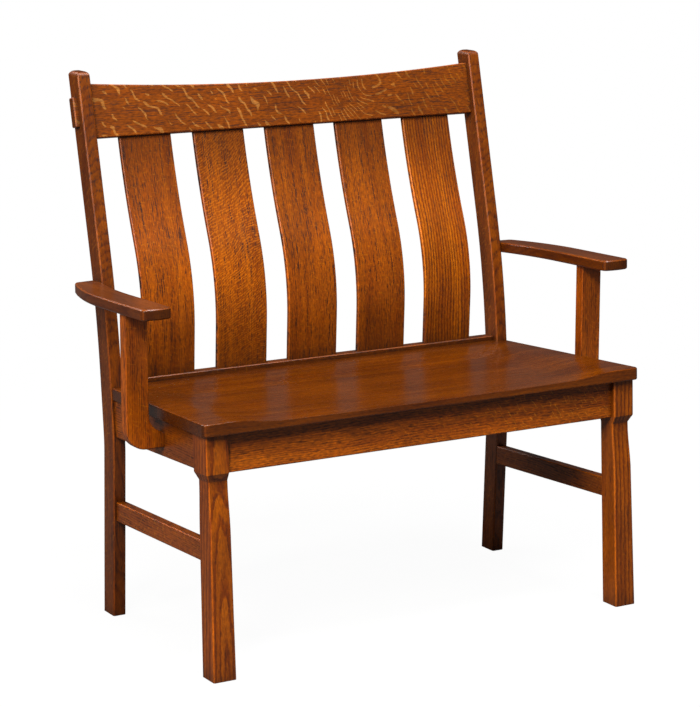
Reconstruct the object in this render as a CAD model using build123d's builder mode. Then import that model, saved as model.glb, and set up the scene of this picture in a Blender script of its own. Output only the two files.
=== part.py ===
from build123d import *

import os
from math import asin, cos, degrees, pi, radians, sin, tan

# Mission settle: a two-seat oak bench with a slatted back and open arms.
# +X points to the right in a view from the front, +Y to the back and +Z up.
# The origin is on the floor, under the middle of the whole bench.
# Lengths are millimetres and angles are degrees.

# Shared values
clearance = 0.2  # all round a tenon, a screw or a notch
overrun = 4.0  # how far a cut runs past the wood that it leaves
arris = 3.0  # rounding of the seat's upper edge
arris_bevel = 2.2  # bevel of the legs, posts and arms
small_arris = 1.6  # bevel of the thinner boards
tenon_thickness = 10.0
tenon_length = 18.0
tenon_shoulder = 9.0  # step above and below a tenon

# Seat board
seat_height = 457.2  # floor to the top of the front edge
seat_tilt = 2.5  # the whole seat frame drops to the back by this angle
seat_front_width = 917.0
seat_back_width = 871.0
seat_depth = 427.5
seat_thickness = 22.7
seat_corner_radius = 11.0
scoop_width = 850.0  # between the flat borders
scoop_floor_width = 590.0
scoop_edge_depth = 9.0  # where the floor of the scoop begins
scoop_middle_depth = 11.0
scoop_ramp_length = 170.0  # over which the scoop rises at the back
scoop_back_border = 22.5

# Front legs, set out from the seat's front edge
front_overhang = 9.5
side_overhang = 7.5
leg_width = 44.4
leg_depth = 50.5
block_height = 68.0  # square head of the leg, below the seat
neck_drop = 14.0  # height of the step under the square head
neck_front = 7.6  # how far the neck is cut in behind the head's front face
neck_side = 6.6
neck_back = 5.4
neck_sweep = 100.0  # height over which the neck runs out into the shaft
sweep_steps = 6
shaft_front = 1.0  # what is left of the step where the sweep ends
shaft_side = 4.2
foot_kick = 2.6  # how far the foot stands in front of the head
foot_back = 9.0  # how far the foot is cut in behind

# Back posts
back_width = 877.0  # over the outer faces of the posts
post_thickness = 25.0
post_depth = 43.6
post_height = 1010.0
post_foot_past_seat = 4.0  # the posts' feet stand further back than the seat is deep
post_foot_lean = -2.5
post_seat_lean = 5.0
post_rake = 13.5
post_knee_height = 310.0  # where the foot's straight run ends
post_knee_rise = 40.0
post_bend_height = 452.0  # where the sweep to the raked top starts
post_bend_rise = 242.0
post_crown = 12.0  # rounding of the post's top, front and back
post_side_crown = 10.0

# Seat frame below the board
apron_height = 70.0
apron_thickness = 19.0
front_apron_setback = 10.0  # behind the legs' front faces
side_inset_front = 13.5  # side pieces in from the front legs' outer faces
side_inset_back = 5.5  # and in from the posts' outer faces
back_apron_setback = 4.0
post_tenon_length = 12.0  # side aprons into the posts, clear of the back apron's tenons
stretcher_top = 216.5  # below the seat's top, along the seat frame
stretcher_height = 37.0
stretcher_thickness = 19.0
stretcher_tenon_height = 24.0

# Back frame
rail_setback = 13.0  # both back rails, behind the posts' front line
rail_thickness = 22.0
lower_rail_height = 31.0  # stands on the back apron's line, behind the seat's back edge
lower_rail_shoulder = 5.0
lower_rail_reveal = 9.0  # above the seat
crest_drop = 121.5  # from the posts' tops down to the crest rail's lower front edge
crest_height = 100.8  # at its ends
crest_dip = 16.0
crest_tenon_width = 55.0
crest_tenon_thickness = 19.0
crest_tenon_reveal = 8.5  # stands proud of the post
crest_tenon_chamfer = 2.0

# Slats, bent as one S from the lower rail up to the crest rail
slat_count = 5
slat_width = 106.2
slat_pitch = 153.8
slat_thickness = 10.0  # front to back
slat_tenon = 15.0
slat_lead = 8.0  # straight run below the crest rail
slat_foot_lean = -2.5
slat_foot_run = 80.0  # straight run above the lower rail
slat_middle_lean = 22.0  # where the S turns

# Arms
arm_height = 642.0  # floor to the top of the arm's nose
arm_nose = 125.0  # behind the front feet
arm_slope = 1.6
arm_thickness = 19.7
arm_width = 58.0
arm_spread = 514.5  # middle of the bench to the arm's outer edge
arm_nose_bow = 5.0
arm_nose_radius = 11.0
arm_straight = 172.0  # back from the nose, where the edges start to curve in
arm_tail = 33.4  # past the post's front line
arm_tail_width = 42.0
arm_tail_radius = 12.0

# Arm posts, standing on the side aprons' outer faces
arm_post_front = 210.0  # behind the front feet
arm_post_depth = 22.0
arm_post_width = 44.0
arm_post_inset = 5.5  # in from the arm's outer edge
arm_post_bottom = 374.0
arm_post_round = 38.0  # outer bottom corner
cove_top = 434.0  # floor to where the foot starts to flare in
cove_radius = 30.0
cove_angle = 60.0
arm_tenon_length = 12.0
arm_tenon_shoulder = 6.0

# Corner blocks
block_reach = 95.0  # along each apron, to the far end of the block
block_seat = 48.0  # length of its glued face on each apron
block_thickness = 22.0

# Screws and dowels
screw_radius = 2.0
screw_head_radius = 4.0
screw_head_height = 2.6
seat_screw_length = 34.0
arm_post_screw_length = 38.0
arm_post_screw_rise = 12.0  # above the arm post's bottom
arm_dowel_radius = 4.0
arm_dowel_length = 32.0


def lean_vector(angle):
    """Direction of a line in a side view that leans back by an angle."""
    return (sin(radians(angle)), cos(radians(angle)))


# Front line of the back posts: (rise, lean at its foot, lean at its top) for each stretch.
post_foot_setback = seat_depth + post_foot_past_seat
crest_bottom = post_height - crest_drop
post_runs = (
    (post_knee_height, post_foot_lean, post_foot_lean),
    (post_knee_rise, post_foot_lean, post_seat_lean),
    (post_bend_height - post_knee_height - post_knee_rise, post_seat_lean, post_seat_lean),
    (post_bend_rise, post_seat_lean, post_rake),
    (post_height - post_bend_height - post_bend_rise, post_rake, post_rake),
)


def run_setback(rise, start, end):
    """How far a line moves back while it climbs, as a straight or an arc between two leans."""
    return rise * tan(radians((start + end) / 2))


def run_radius(rise, start, end):
    """Radius of an arc that climbs a rise while its lean changes."""
    return abs(rise / (sin(radians(end)) - sin(radians(start))))


def post_line(height):
    """How far the posts' front line lies behind the front feet, at a height."""
    setback = post_foot_setback
    for rise, start, end in post_runs:
        climb = min(height, rise)
        reached = end
        if start != end:
            radius = run_radius(rise, start, end)
            reached = degrees(asin(sin(radians(start)) + climb / radius))
        setback += run_setback(climb, start, reached)
        height -= climb
    return setback


def sawn_outline(foot, runs, width):
    """Side outline of a board that is sawn to a curve, from its foot up through its runs."""
    corners = [Vector(*foot), Vector(*foot) + (width, 0)]
    Line(*corners)
    for rise, start, end in runs:
        for index, corner in enumerate(corners):
            if start == end:
                edge = Line(corner, corner + (run_setback(rise, start, end), rise))
            else:
                radius = run_radius(rise, start, end)
                edge = JernArc(corner, lean_vector(start), radius, start - end)
            corners[index] = edge @ 1
    Line(*corners)


def s_curve(start, end, along):
    """Two equal arcs that leave both ends in the same direction."""
    middle = ((start[0] + end[0]) / 2, (start[1] + end[1]) / 2)
    TangentArc(start, middle, tangent=along)
    TangentArc(end, middle, tangent=(-along[0], -along[1]))


# The rounded top of a raked post reaches furthest back where its back corner's arc faces back.
bench_depth = (
    post_line(post_height - post_crown)
    + post_depth
    + post_crown * (1 - 1 / cos(radians(post_rake)))
)
front_y = -bench_depth / 2

# The seat frame's own directions, from the top of the seat's front edge: back along the seat,
# and up square to it. The front foot's place on the floor fixes where that edge is.
tilt = radians(seat_tilt)
foot_front = front_overhang - foot_kick
foot_drop = (seat_height - foot_front * sin(tilt)) / cos(tilt)
seat_edge_y = front_y - foot_front * cos(tilt) + foot_drop * sin(tilt)
seat_back = Vector(0, cos(tilt), -sin(tilt))
seat_up = Vector(0, sin(tilt), cos(tilt))
seat_edge = Vector(0, seat_edge_y, seat_height)


def seat_point(x, back, up):
    """A place in the seat frame, as a world point."""
    return seat_edge + Vector(x, 0, 0) + seat_back * back + seat_up * up


def seat_plan(up):
    """Plane for a plan view of the seat frame."""
    return Plane(origin=seat_point(0, 0, up), x_dir=(1, 0, 0), z_dir=seat_up)


def seat_side(x):
    """Plane for a side view of the seat frame, facing +X."""
    return Plane(origin=seat_point(x, 0, 0), x_dir=seat_back, z_dir=(1, 0, 0))


def seat_front(back):
    """Plane for a front view of the seat frame, facing the sitter's feet."""
    return Plane(origin=seat_point(0, back, 0), x_dir=(1, 0, 0), z_dir=-seat_back)


def level_side(x):
    """Plane for a side view from the front feet and the floor, facing +X."""
    return Plane(origin=(x, front_y, 0), x_dir=(0, 1, 0), z_dir=(1, 0, 0))


def seat_back_at(setback, height):
    """How far a level side view's place lies back along the seat frame."""
    place = Vector(0, front_y + setback, height) - seat_edge
    return place.dot(seat_back)


# Places that several pieces share
frame_top = -seat_thickness
leg_outer = seat_front_width / 2 - side_overhang
leg_inner = leg_outer - leg_width
leg_back = front_overhang + leg_depth
post_outer = back_width / 2
post_inner = post_outer - post_thickness
apron_bottom = frame_top - apron_height
apron_middle = frame_top - apron_height / 2
post_seat_height = (post_knee_height + post_knee_rise + post_bend_height) / 2
post_seat_plane = Plane(
    origin=(post_inner, front_y + post_line(post_seat_height), post_seat_height),
    x_dir=(1, 0, 0),
    z_dir=(0, -cos(radians(post_seat_lean)), sin(radians(post_seat_lean))),
)
post_foot_plane = Plane(
    origin=(post_inner, front_y + post_foot_setback, 0),
    x_dir=(1, 0, 0),
    z_dir=(0, -cos(radians(post_foot_lean)), sin(radians(post_foot_lean))),
)
post_apron_back = seat_back_at(post_line(post_seat_height), post_seat_height)
neck_bottom = frame_top - block_height - neck_drop
back_taper = (foot_back - neck_back) / (neck_bottom + foot_drop)
leg_back_plane = Plane(
    origin=seat_point(leg_inner, leg_back - neck_back, neck_bottom),
    x_dir=(1, 0, 0),
    z_dir=seat_back + seat_up * -back_taper,
)
apron_front_plane = Plane(
    origin=seat_point(leg_inner, leg_back, 0), x_dir=(1, 0, 0), z_dir=seat_back
)

rail_top = seat_point(0, seat_depth, 0).Z + lower_rail_reveal
rail_front = seat_point(0, seat_depth, 0).Y
crest_front = front_y + post_line(crest_bottom) + rail_setback
crest_up = Vector(0, *lean_vector(post_rake))
crest_facing = Vector(0, -cos(radians(post_rake)), sin(radians(post_rake)))
crest_plane = Plane(origin=(0, crest_front, crest_bottom), x_dir=(1, 0, 0), z_dir=crest_facing)


def side_line(back):
    """Outer face of the side pieces: half the width over them, at a place in the seat frame."""
    share = (back - leg_back) / (post_apron_back - leg_back)
    front = leg_outer - side_inset_front
    return front + share * (post_outer - side_inset_back - front)


side_turn = degrees(
    asin((side_line(leg_back) - side_line(post_apron_back)) / (post_apron_back - leg_back))
)


def side_plan_points(thickness, start, end):
    """Plan outline of a board on the side line."""
    return (
        (side_line(start), start),
        (side_line(end), end),
        (side_line(end) - thickness, end),
        (side_line(start) - thickness, start),
    )


def side_tenon(thickness, low, high, start, end, grow):
    """Tenon of a side board between two places in the seat frame, grown all round by a gap."""
    inset = (thickness - tenon_thickness) / 2
    with BuildPart() as tenon:
        with BuildSketch(seat_plan(low - grow)):
            with BuildLine():
                Polyline(
                    (side_line(start) - inset + grow, start - grow),
                    (side_line(end) - inset + grow, end + grow),
                    (side_line(end) - inset - tenon_thickness - grow, end + grow),
                    (side_line(start) - inset - tenon_thickness - grow, start - grow),
                    close=True,
                )
            make_face()
        extrude(amount=high - low + 2 * grow)
    return tenon.part


def apron_tenon(start, end, grow=0):
    """Tenon at one end of a side apron."""
    low = apron_bottom + tenon_shoulder
    high = frame_top - tenon_shoulder
    return side_tenon(apron_thickness, low, high, start, end, grow)


def stretcher_tenon(start, end, grow=0):
    """Tenon at one end of a side stretcher."""
    middle = -stretcher_top - stretcher_height / 2
    low = middle - stretcher_tenon_height / 2
    high = middle + stretcher_tenon_height / 2
    return side_tenon(stretcher_thickness, low, high, start, end, grow)


def cross_tenon_plane(x, back, up):
    """Plane whose normal is +X, for the tenons of boards that run along the bench."""
    return Plane(origin=seat_point(x, back, up), x_dir=seat_back, z_dir=(1, 0, 0))


def place(origin, direction):
    """Location of a screw's head, pointing down a direction."""
    return Plane(origin=origin, z_dir=direction).location


# Where the tenons of the side pieces begin and end, in the seat frame
front_tenon_end = leg_back - tenon_length
stretcher_front_end = leg_back - neck_back - tenon_length
post_foot_back = seat_back_at(
    post_line(seat_height - stretcher_top), seat_height - stretcher_top
)
apron_tenon_end = post_apron_back + post_tenon_length
stretcher_tenon_end = post_foot_back + tenon_length
front_apron_back = front_overhang + front_apron_setback
front_tenon_back = front_apron_back + apron_thickness / 2
back_apron_front = post_apron_back + back_apron_setback
back_tenon_back = back_apron_front + apron_thickness - tenon_thickness / 2
tenon_height = apron_height - 2 * tenon_shoulder
rail_middle_y = rail_front + rail_thickness / 2
rail_middle_z = rail_top - lower_rail_height / 2
lower_rail_tenon_height = lower_rail_height - 2 * lower_rail_shoulder
crest_middle = crest_height / 2

# Arm and arm post
arm_pitch = radians(arm_slope)
arm_down = Vector(0, sin(arm_pitch), cos(arm_pitch))
arm_top_plane = Plane(
    origin=(0, front_y + arm_nose, arm_height), x_dir=(1, 0, 0), z_dir=arm_down
)
arm_under_plane = arm_top_plane.offset(-arm_thickness)
arm_post_outer = arm_spread - arm_post_inset
arm_post_inner = arm_post_outer - arm_post_width
arm_post_middle = arm_post_inner + arm_post_width / 2
arm_post_y = front_y + arm_post_front + arm_post_depth / 2
arm_under_z = (
    arm_under_plane.origin.Z - (arm_post_y - arm_under_plane.origin.Y) * tan(arm_pitch)
)
arm_post_back = seat_back_at(arm_post_front + arm_post_depth / 2, arm_post_bottom)
arm_drop = (post_line(arm_height) - arm_nose) * tan(arm_pitch)
arm_meets_post = (post_line(arm_height - arm_drop) - arm_nose) / cos(arm_pitch)
arm_length = arm_meets_post + arm_tail
arm_dowel_z = arm_height - arm_thickness / 2 - (arm_length + arm_meets_post) / 2 * sin(arm_pitch)
arm_dowel_y = front_y + arm_nose + (arm_length + arm_meets_post) / 2 * cos(arm_pitch)
side_outward = Vector(cos(radians(side_turn)), 0, 0) + seat_back * sin(radians(side_turn))
apron_inner_x = side_line(arm_post_back) - apron_thickness

# Corner blocks, in the seat frame
front_block_back = front_apron_back + apron_thickness
block_low = frame_top - block_thickness


def corner_block_points(front):
    """Plan outline of a corner block, at the front or the back of the seat frame."""
    wall = front_block_back if front else back_apron_front
    step = 1 if front else -1
    corner = side_line(wall) - apron_thickness
    along = [wall + step * block_reach, wall + step * (block_reach - block_seat)]
    return (
        (side_line(along[0]) - apron_thickness, along[0]),
        (side_line(along[1]) - apron_thickness, along[1]),
        (corner - (block_reach - block_seat), wall),
        (corner - block_reach, wall),
    )


def seat_screw_places():
    """Heads of the screws that hold the seat, on the right-hand side."""
    places = []
    for front in (True, False):
        points = corner_block_points(front)
        x = sum(point[0] for point in points) / len(points)
        back = sum(point[1] for point in points) / len(points)
        places.append(place(seat_point(x, back, block_low), seat_up))
    return places


def arm_post_screw_place():
    """Head of the screw from inside the side apron into the arm post's foot."""
    up = (arm_post_bottom + arm_post_screw_rise - seat_point(0, arm_post_back, 0).Z) / cos(tilt)
    return place(seat_point(apron_inner_x, arm_post_back, up), side_outward)


ROOT = (Align.CENTER, Align.CENTER, Align.MIN)  # a cylinder or cone that stands on its place


def screws(places, length, grow=0):
    """The same countersunk screw on both sides of the bench, grown all round by a gap."""
    with BuildPart() as right:
        with Locations(places):
            Cylinder(screw_radius + grow, length + grow, align=ROOT)
            Cone(screw_head_radius + grow, screw_radius + grow, screw_head_height, align=ROOT)
    with BuildPart() as both:
        add(right.part)
        mirror(right.part, about=Plane.YZ)
    return both.part


seat_screw_holes = screws(seat_screw_places(), seat_screw_length, clearance)
arm_post_screw_holes = screws([arm_post_screw_place()], arm_post_screw_length, clearance)
arm_dowel_axis = Plane(origin=(post_outer, arm_dowel_y, arm_dowel_z), z_dir=(1, 0, 0))


def arm_dowels(grow=0):
    """The dowels between the posts' outer faces and the arms' tails, grown all round by a gap."""
    with BuildPart() as both:
        with BuildSketch(arm_dowel_axis):
            Circle(arm_dowel_radius + grow)
        extrude(amount=arm_dowel_length / 2 + grow, both=True)
        mirror(both.part, about=Plane.YZ)
    return both.part


arm_dowel_holes = arm_dowels(clearance)


def leg_section(up, front, back, outer):
    """Plan of the front leg at a height in the seat frame, with bevelled corners."""
    with BuildSketch(seat_plan(up)) as section:
        with BuildLine():
            Polyline((leg_inner, front), (outer, front), (outer, back), (leg_inner, back),
                     close=True)
        make_face()
        chamfer(vertices(), length=arris_bevel)
    return section.sketch


def post_outline(rounded):
    """Side outline of the back post, with its top corners square or rounded."""
    with BuildSketch(level_side(post_inner)) as outline:
        with BuildLine():
            sawn_outline((post_line(0), 0), post_runs, post_depth)
        make_face()
        if rounded:
            fillet(vertices().sort_by(Axis.Y)[-2:], radius=post_crown)
    return outline.sketch


leg_mortises = (
    apron_tenon(front_tenon_end, leg_back, clearance),
    stretcher_tenon(stretcher_front_end, leg_back, clearance),
)
post_mortises = (
    apron_tenon(post_apron_back - overrun, apron_tenon_end, clearance),
    stretcher_tenon(post_foot_back - overrun, stretcher_tenon_end, clearance),
)

# Front leg: a square head, a neck cut in below it and a shaft that sweeps out to the foot
leg_sections = [
    leg_section(up, front_overhang, leg_back, leg_outer)
    for up in (frame_top, frame_top - block_height)
]
for step in range(sweep_steps + 1):
    share = step / sweep_steps
    swept = (1 - cos(pi * share)) / 2
    leg_sections.append(leg_section(
        neck_bottom - share * neck_sweep,
        front_overhang + neck_front + swept * (shaft_front - neck_front),
        leg_back - neck_back - share * neck_sweep * back_taper,
        leg_outer - neck_side + swept * (neck_side - shaft_side),
    ))
sweep_front = front_overhang + shaft_front
foot_span = neck_bottom - neck_sweep + foot_drop
past_floor = (foot_span + overrun) / foot_span
leg_sections.append(leg_section(
    -foot_drop - overrun,
    sweep_front + past_floor * (foot_front - sweep_front),
    leg_back - neck_back - (neck_sweep + foot_span + overrun) * back_taper,
    leg_outer - shaft_side + past_floor * shaft_side,
))
with BuildPart() as front_leg_right:
    loft(leg_sections, ruled=True)
    split(bisect_by=Plane.XY, keep=Keep.TOP)
    add(leg_mortises, mode=Mode.SUBTRACT)
    with BuildSketch(cross_tenon_plane(leg_inner, front_tenon_back, apron_middle)):
        Rectangle(tenon_thickness + 2 * clearance, tenon_height + 2 * clearance)
    extrude(amount=tenon_length + clearance, mode=Mode.SUBTRACT)

# Back post: plumb sides, sawn to a curve in the side view, with a rounded top
post_blank = post_outline(False)
post_rounded = post_outline(True)
with BuildPart() as back_post_right:
    extrude(post_blank, amount=post_thickness)
    long_edges = back_post_right.edges().filter_by(
        lambda edge: abs(edge.tangent_at(1 / 2).X) < 1 / 2
        and overrun < edge.center().Z < post_height - overrun
    )
    chamfer(long_edges, length=arris_bevel)
    with BuildSketch(Plane(origin=(0, front_y, 0), x_dir=(1, 0, 0), z_dir=(0, -1, 0))):
        with Locations(((post_inner + post_outer) / 2, post_height / 2)):
            Rectangle(post_thickness, post_height)
        fillet(vertices().sort_by(Axis.Y)[-2:], radius=post_side_crown)
    extrude(amount=-bench_depth, mode=Mode.INTERSECT)
    extrude(post_rounded, amount=post_thickness, mode=Mode.INTERSECT)
    add(post_mortises, mode=Mode.SUBTRACT)
    with BuildSketch(cross_tenon_plane(post_inner, back_tenon_back, apron_middle)):
        Rectangle(tenon_thickness + 2 * clearance, tenon_height + 2 * clearance)
    extrude(amount=tenon_length + clearance, mode=Mode.SUBTRACT)
    with BuildSketch(Plane(origin=(post_inner, rail_middle_y, rail_middle_z), x_dir=(0, 1, 0),
                           z_dir=(1, 0, 0))):
        Rectangle(tenon_thickness + 2 * clearance, lower_rail_tenon_height + 2 * clearance)
    extrude(amount=tenon_length + clearance, mode=Mode.SUBTRACT)
    with BuildSketch(crest_plane.offset(-rail_thickness / 2)):
        with Locations((post_inner, crest_middle)):
            Rectangle(2 * (post_thickness + overrun), crest_tenon_width + 2 * clearance)
    extrude(amount=crest_tenon_thickness / 2 + clearance, both=True, mode=Mode.SUBTRACT)
    add(arm_dowel_holes, mode=Mode.SUBTRACT)

# Crest rail: a low arch turned upside down, with tenons that pass through the posts
with BuildPart() as crest_rail:
    with BuildSketch(crest_plane):
        with BuildLine():
            blank_end = post_inner + overrun
            Polyline((-blank_end, crest_height), (-blank_end, 0), (blank_end, 0),
                     (blank_end, crest_height))
            ThreePointArc((-blank_end, crest_height), (0, crest_height - crest_dip),
                          (blank_end, crest_height))
        make_face()
    extrude(amount=-rail_thickness)
    chamfer(crest_rail.edges().filter_by(lambda edge: edge.length > post_inner),
            length=small_arris)
    for side in (-1, 1):
        shoulder_plane = Plane(origin=(side * post_inner, 0, 0), z_dir=(side, 0, 0))
        split(bisect_by=shoulder_plane, keep=Keep.BOTTOM)
    tenon_tip = post_outer + crest_tenon_reveal
    with BuildSketch(crest_plane.offset(-rail_thickness / 2)):
        with Locations((0, crest_middle)):
            Rectangle(2 * tenon_tip, crest_tenon_width)
    extrude(amount=crest_tenon_thickness / 2, both=True)
    tips = crest_rail.faces().filter_by(Axis.X).filter_by(
        lambda face: abs(face.center().X) > post_outer
    )
    chamfer(tips.edges(), length=crest_tenon_chamfer)

# Slat: one bent board, let whole into both rails
slat_foot = Vector(rail_front - front_y + (rail_thickness - slat_thickness) / 2, rail_top)
slat_head = Vector(
    crest_front - front_y
    + (rail_thickness / cos(radians(post_rake)) - slat_thickness) / 2,
    crest_bottom,
)
slat_run = slat_head - slat_foot
sweep_rise = slat_run.Y - slat_foot_run - slat_lead
sweep_setback = (
    slat_run.X
    - run_setback(slat_foot_run, slat_foot_lean, slat_foot_lean)
    - run_setback(slat_lead, post_rake, post_rake)
)
lower_slope = run_setback(1, slat_foot_lean, slat_middle_lean)
upper_slope = run_setback(1, slat_middle_lean, post_rake)
lower_rise = (sweep_rise * upper_slope - sweep_setback) / (upper_slope - lower_slope)
slat_tip_rise = slat_tenon * cos(radians(post_rake))
slat_runs = (
    (slat_tenon + slat_foot_run, slat_foot_lean, slat_foot_lean),
    (lower_rise, slat_foot_lean, slat_middle_lean),
    (sweep_rise - lower_rise, slat_middle_lean, post_rake),
    (slat_lead + slat_tip_rise, post_rake, post_rake),
)
slat_tip = slat_foot - (run_setback(slat_tenon, slat_foot_lean, slat_foot_lean), slat_tenon)
slats = []
slat_places = [(index - (slat_count - 1) / 2) * slat_pitch for index in range(slat_count)]
for slat_x in slat_places:
    with BuildPart() as slat:
        with BuildSketch(level_side(slat_x - slat_width / 2)):
            with BuildLine():
                sawn_outline(slat_tip, slat_runs, slat_thickness)
            make_face()
        extrude(amount=slat_width)
        chamfer(slat.edges().filter_by(lambda edge: abs(edge.tangent_at(1 / 2).X) < 1 / 2
                                       and edge.length > slat_thickness + overrun),
                length=small_arris)
    slats.append(slat.part)

# Mortises for the slats, square to each rail's own slat direction
with BuildPart() as slat_mortises:
    for point, lean, step in ((slat_foot, slat_foot_lean, -1), (slat_head, post_rake, 1)):
        middle_y = front_y + point.X + slat_thickness / 2
        direction = Vector(0, *lean_vector(lean)) * step
        with BuildSketch(Plane(origin=(0, middle_y, point.Y), x_dir=(1, 0, 0),
                               z_dir=direction).offset(-overrun)):
            with Locations([(x, 0) for x in slat_places]):
                Rectangle(slat_width + 2 * clearance,
                          slat_thickness * cos(radians(lean)) + 2 * clearance)
        level_end = slat_thickness / 2 * sin(radians(abs(lean)))
        extrude(amount=slat_tenon + level_end + overrun + clearance)

with BuildPart() as crest_rail_cut:
    add(crest_rail.part)
    add(slat_mortises.part, mode=Mode.SUBTRACT)

# Lower back rail: a plumb board behind the seat's back edge
with BuildPart() as lower_back_rail:
    with BuildSketch(Plane.XY.offset(rail_top - lower_rail_height)):
        with Locations((0, rail_middle_y)):
            Rectangle(2 * post_inner, rail_thickness)
    extrude(amount=lower_rail_height)
    chamfer(lower_back_rail.edges().filter_by(Axis.X), length=small_arris)
    with BuildSketch(Plane.XY.offset(rail_top - lower_rail_height + lower_rail_shoulder)):
        with Locations((0, rail_middle_y)):
            Rectangle(2 * (post_inner + tenon_length), tenon_thickness)
    extrude(amount=lower_rail_tenon_height)
    add(slat_mortises.part, mode=Mode.SUBTRACT)


def cross_apron(width, back, tenon_back):
    """Board along the bench below the seat, with a tenon at each end."""
    with BuildPart() as apron:
        with BuildSketch(seat_plan(apron_bottom)):
            with Locations((0, back + apron_thickness / 2)):
                Rectangle(width, apron_thickness)
        extrude(amount=apron_height)
        bottom_edges = apron.edges().filter_by(Axis.X).sort_by(Axis.Z)[:2]
        chamfer(bottom_edges, length=small_arris)
        with BuildSketch(seat_plan(apron_bottom + tenon_shoulder)):
            with Locations((0, tenon_back)):
                Rectangle(width + 2 * tenon_length, tenon_thickness)
        extrude(amount=tenon_height)
    return apron.part


front_apron_part = cross_apron(2 * leg_inner, front_apron_back, front_tenon_back)
back_apron_part = cross_apron(2 * post_inner, back_apron_front, back_tenon_back)

side_apron_tenons = (
    apron_tenon(front_tenon_end, leg_back + overrun),
    apron_tenon(post_apron_back - 2 * overrun, apron_tenon_end),
)
stretcher_tenons = (
    stretcher_tenon(stretcher_front_end, leg_back + overrun),
    stretcher_tenon(post_foot_back - 2 * overrun, stretcher_tenon_end),
)

# Side apron: follows the frame's plan taper, scribed to the leg and the post
with BuildPart() as side_apron_right:
    with BuildSketch(seat_plan(apron_bottom)):
        with BuildLine():
            Polyline(side_plan_points(apron_thickness, front_tenon_end, apron_tenon_end),
                     close=True)
        make_face()
    extrude(amount=apron_height)
    split(bisect_by=apron_front_plane, keep=Keep.TOP)
    split(bisect_by=post_seat_plane, keep=Keep.TOP)
    chamfer(side_apron_right.edges().sort_by(Axis.Z)[:4].sort_by(SortBy.LENGTH)[-2:],
            length=small_arris)
    add(side_apron_tenons)
    add(arm_post_screw_holes, mode=Mode.SUBTRACT)

# Side stretcher: one low rail on each side
with BuildPart() as side_stretcher_right:
    with BuildSketch(seat_plan(-stretcher_top - stretcher_height)):
        with BuildLine():
            Polyline(side_plan_points(stretcher_thickness, stretcher_front_end,
                                      stretcher_tenon_end), close=True)
        make_face()
    extrude(amount=stretcher_height)
    split(bisect_by=leg_back_plane, keep=Keep.TOP)
    split(bisect_by=post_foot_plane, keep=Keep.TOP)
    chamfer(side_stretcher_right.edges().sort_by(SortBy.LENGTH)[-4:], length=small_arris)
    add(stretcher_tenons)


# Scoop of the seat: a long shallow trough that runs out at the front and rises at the back
scoop_brim = small_arris / 2
with BuildPart() as scoop:
    with BuildSketch(seat_front(-overrun)):
        with BuildLine():
            brim = [(side * scoop_width / 2, scoop_brim) for side in (-1, 1)]
            floor = [(side * scoop_floor_width / 2, -scoop_edge_depth) for side in (-1, 1)]
            s_curve(brim[0], floor[0], (1, 0))
            ThreePointArc(floor[0], (0, -scoop_middle_depth), floor[1])
            s_curve(brim[1], floor[1], (-1, 0))
            Polyline(brim[0], (-scoop_width / 2, seat_thickness),
                     (scoop_width / 2, seat_thickness), brim[1])
        make_face()
    extrude(amount=-seat_depth - overrun)
    with BuildSketch(seat_side(-seat_front_width / 2)):
        with BuildLine():
            ramp_end = seat_depth - scoop_back_border
            ramp_foot = (ramp_end - scoop_ramp_length, -scoop_middle_depth - overrun)
            ramp_head = (ramp_end, scoop_brim)
            ramp_back = seat_depth + overrun
            s_curve(ramp_foot, ramp_head, (1, 0))
            Polyline(ramp_head, (ramp_back, scoop_brim), (ramp_back, -seat_thickness),
                     (ramp_foot[0], -seat_thickness), ramp_foot)
        make_face()
    extrude(amount=seat_front_width, mode=Mode.SUBTRACT)

# Seat board: tapers to the back, notched between the posts, resting on the aprons
with BuildPart() as seat:
    with BuildSketch(seat_plan(-seat_thickness)):
        with BuildLine():
            Polyline((-seat_front_width / 2, 0), (seat_front_width / 2, 0),
                     (seat_back_width / 2, seat_depth), (-seat_back_width / 2, seat_depth),
                     close=True)
        make_face()
        fillet(vertices().sort_by(Axis.Y)[:2], radius=seat_corner_radius)
    extrude(amount=seat_thickness)
    for upper in (True, False):
        seat_faces = seat.faces().filter_by(lambda face: abs(face.normal_at().dot(seat_up)) > 1 / 2)
        rim = seat_faces.sort_by(Axis.Z)[-1 if upper else 0].edges().filter_by(
            lambda edge: (edge.center() - seat_edge).dot(seat_back) < seat_depth - overrun
        )
        if upper:
            fillet(rim, radius=arris)
        else:
            chamfer(rim, length=small_arris)
    notch_front = post_apron_back - clearance
    for side in (-1, 1):
        with BuildSketch(seat_plan(-seat_thickness - overrun)):
            with Locations((side * (post_inner - clearance), notch_front)):
                Rectangle(seat_back_width, seat_depth,
                          align=(Align.MIN if side > 0 else Align.MAX, Align.MIN))
        extrude(amount=seat_thickness + 2 * overrun, mode=Mode.SUBTRACT)
    add(scoop.part, mode=Mode.SUBTRACT)
    add(seat_screw_holes, mode=Mode.SUBTRACT)

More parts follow.
